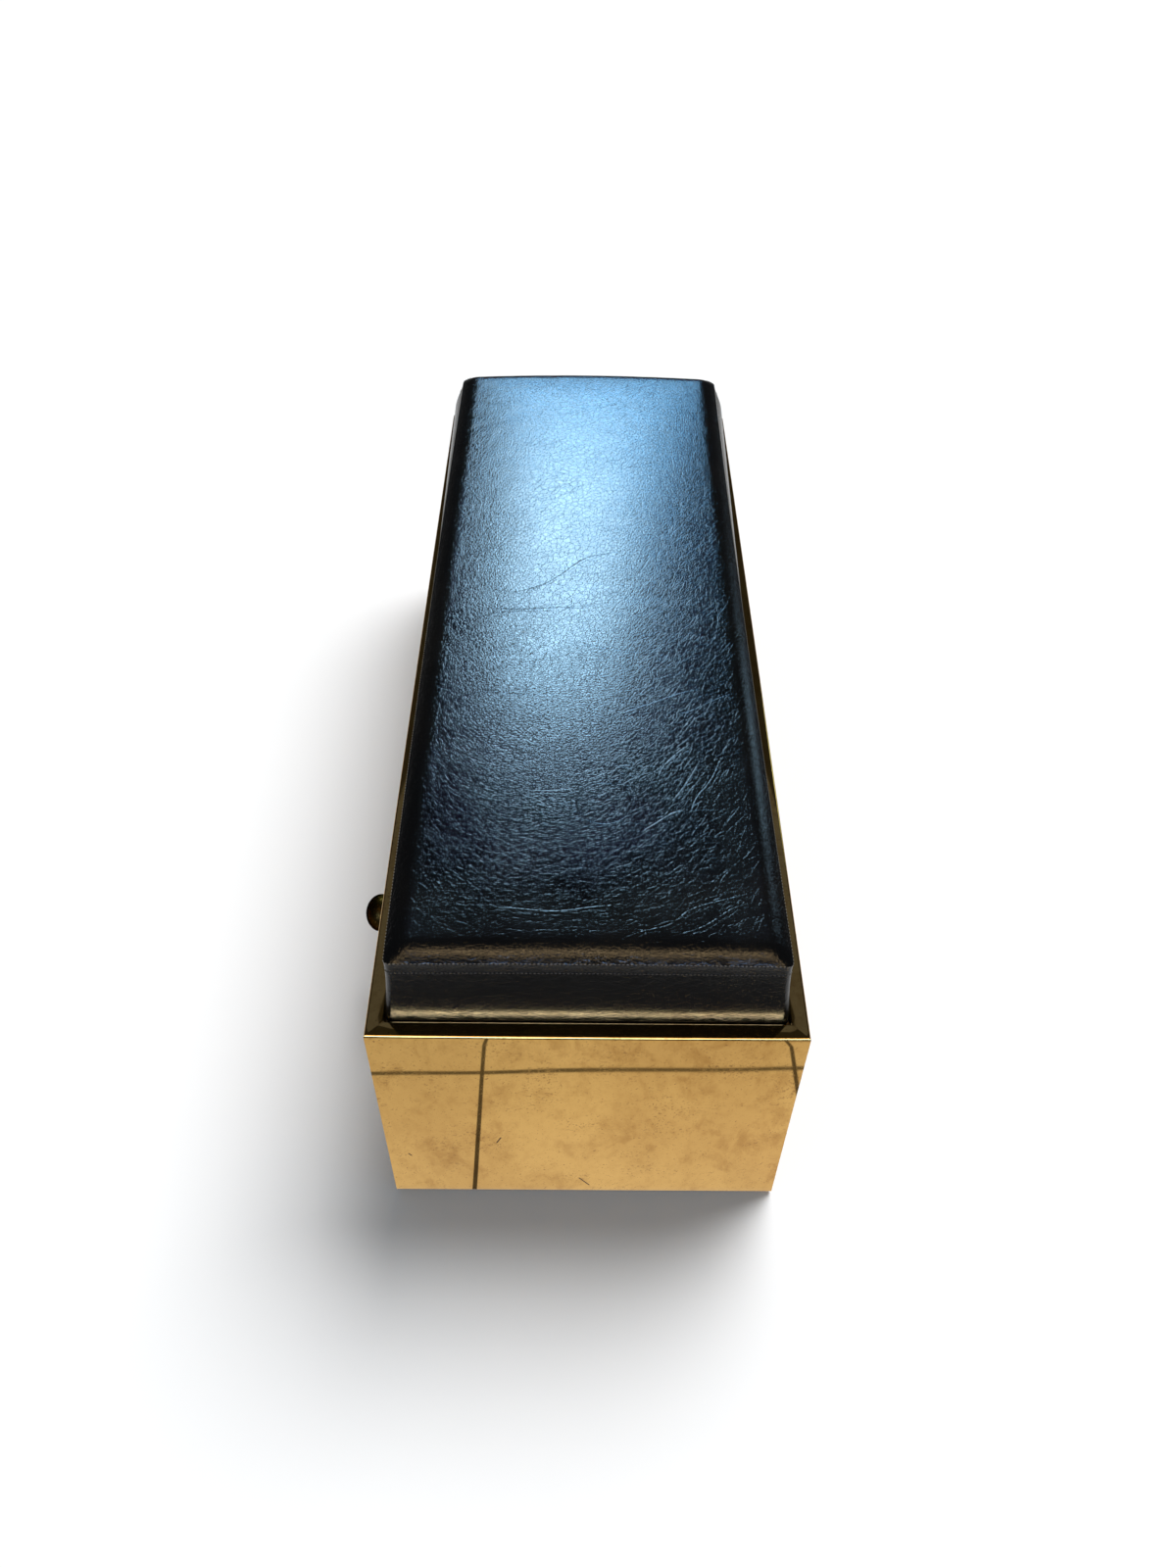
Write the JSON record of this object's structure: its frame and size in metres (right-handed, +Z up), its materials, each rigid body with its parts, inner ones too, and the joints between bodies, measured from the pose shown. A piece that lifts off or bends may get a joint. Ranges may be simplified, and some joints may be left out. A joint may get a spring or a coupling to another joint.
{
  "type": "upholstered bench",
  "caption": "Long box bench clad in folded polished brass, with a flush side drawer on a round knob and a loose black leather box cushion set down into the rim.",
  "frame": {"origin": "on the floor, under the middle of the whole part's box, knob included", "axes": "+Z up, +Y along the bench's length away from the end seen in the picture, -X out of the drawer"},
  "size_m": [0.515, 1.219, 0.4473],
  "materials": {
    "brass_sheet": "polished",
    "dark_brass": "satin",
    "plywood": "matte",
    "hardwood": "satin",
    "zinc_steel": "satin",
    "nylon_glide": "matte",
    "black_leather": "satin",
    "seat_foam": "matte"
  },
  "bodies": {
    "carcass": {"front_end_panel": "plywood", "rear_end_panel": "plywood", "right_side_panel": "plywood", "left_bottom_rail": "plywood", "left_top_rail": "plywood", "left_front_stile": "plywood", "left_rear_panel": "plywood", "floor_panel": "plywood", "centre_divider": "plywood", "seat_deck": "plywood", "deck_cleat_left": "hardwood", "deck_cleat_right": "hardwood", "deck_cleat_front": "hardwood", "deck_cleat_rear": "hardwood", "corner_block_front_left": "hardwood", "corner_block_front_right": "hardwood", "corner_block_rear_left": "hardwood", "corner_block_rear_right": "hardwood", "deck_screw_1": "zinc_steel", "deck_screw_2": "zinc_steel", "deck_screw_3": "zinc_steel", "deck_screw_4": "zinc_steel", "deck_screw_5": "zinc_steel", "deck_screw_6": "zinc_steel", "glide_front_left": "nylon_glide", "glide_front_right": "nylon_glide", "glide_middle_left": "nylon_glide", "glide_middle_right": "nylon_glide", "glide_rear_left": "nylon_glide", "glide_rear_right": "nylon_glide", "front_end_cladding": "brass_sheet", "rear_end_cladding": "brass_sheet", "left_side_cladding": "brass_sheet", "right_side_cladding": "brass_sheet", "drawer_runner_front": "hardwood", "drawer_runner_rear": "hardwood", "drawer_kicker_front": "hardwood", "drawer_kicker_rear": "hardwood", "drawer_stop_bar": "hardwood", "drawer_close_stop": "hardwood"},
    "drawer": {"drawer_front": "plywood", "drawer_front_cladding": "brass_sheet", "drawer_side_front": "hardwood", "drawer_side_rear": "hardwood", "drawer_back": "hardwood", "drawer_bottom": "plywood", "knob_rose": "dark_brass", "knob_stem": "dark_brass", "knob": "dark_brass", "knob_bolt": "zinc_steel"},
    "cushion": {"cushion_foam": "seat_foam", "cushion_top_panel": "black_leather", "cushion_bottom_panel": "black_leather", "cushion_boxing_left": "black_leather", "cushion_boxing_right": "black_leather", "cushion_boxing_front": "black_leather", "cushion_boxing_rear": "black_leather"}
  },
  "joints": [
    {"name": "drawer_slide", "type": "slide", "parent": "carcass", "child": "drawer", "axis": [-1, 0, 0], "range_m": [0, 0.28]},
    {"name": "cushion_lift", "type": "slide", "parent": "carcass", "child": "cushion", "axis": [0, 0, 1], "range_m": [0, 0.15]}
  ]
}
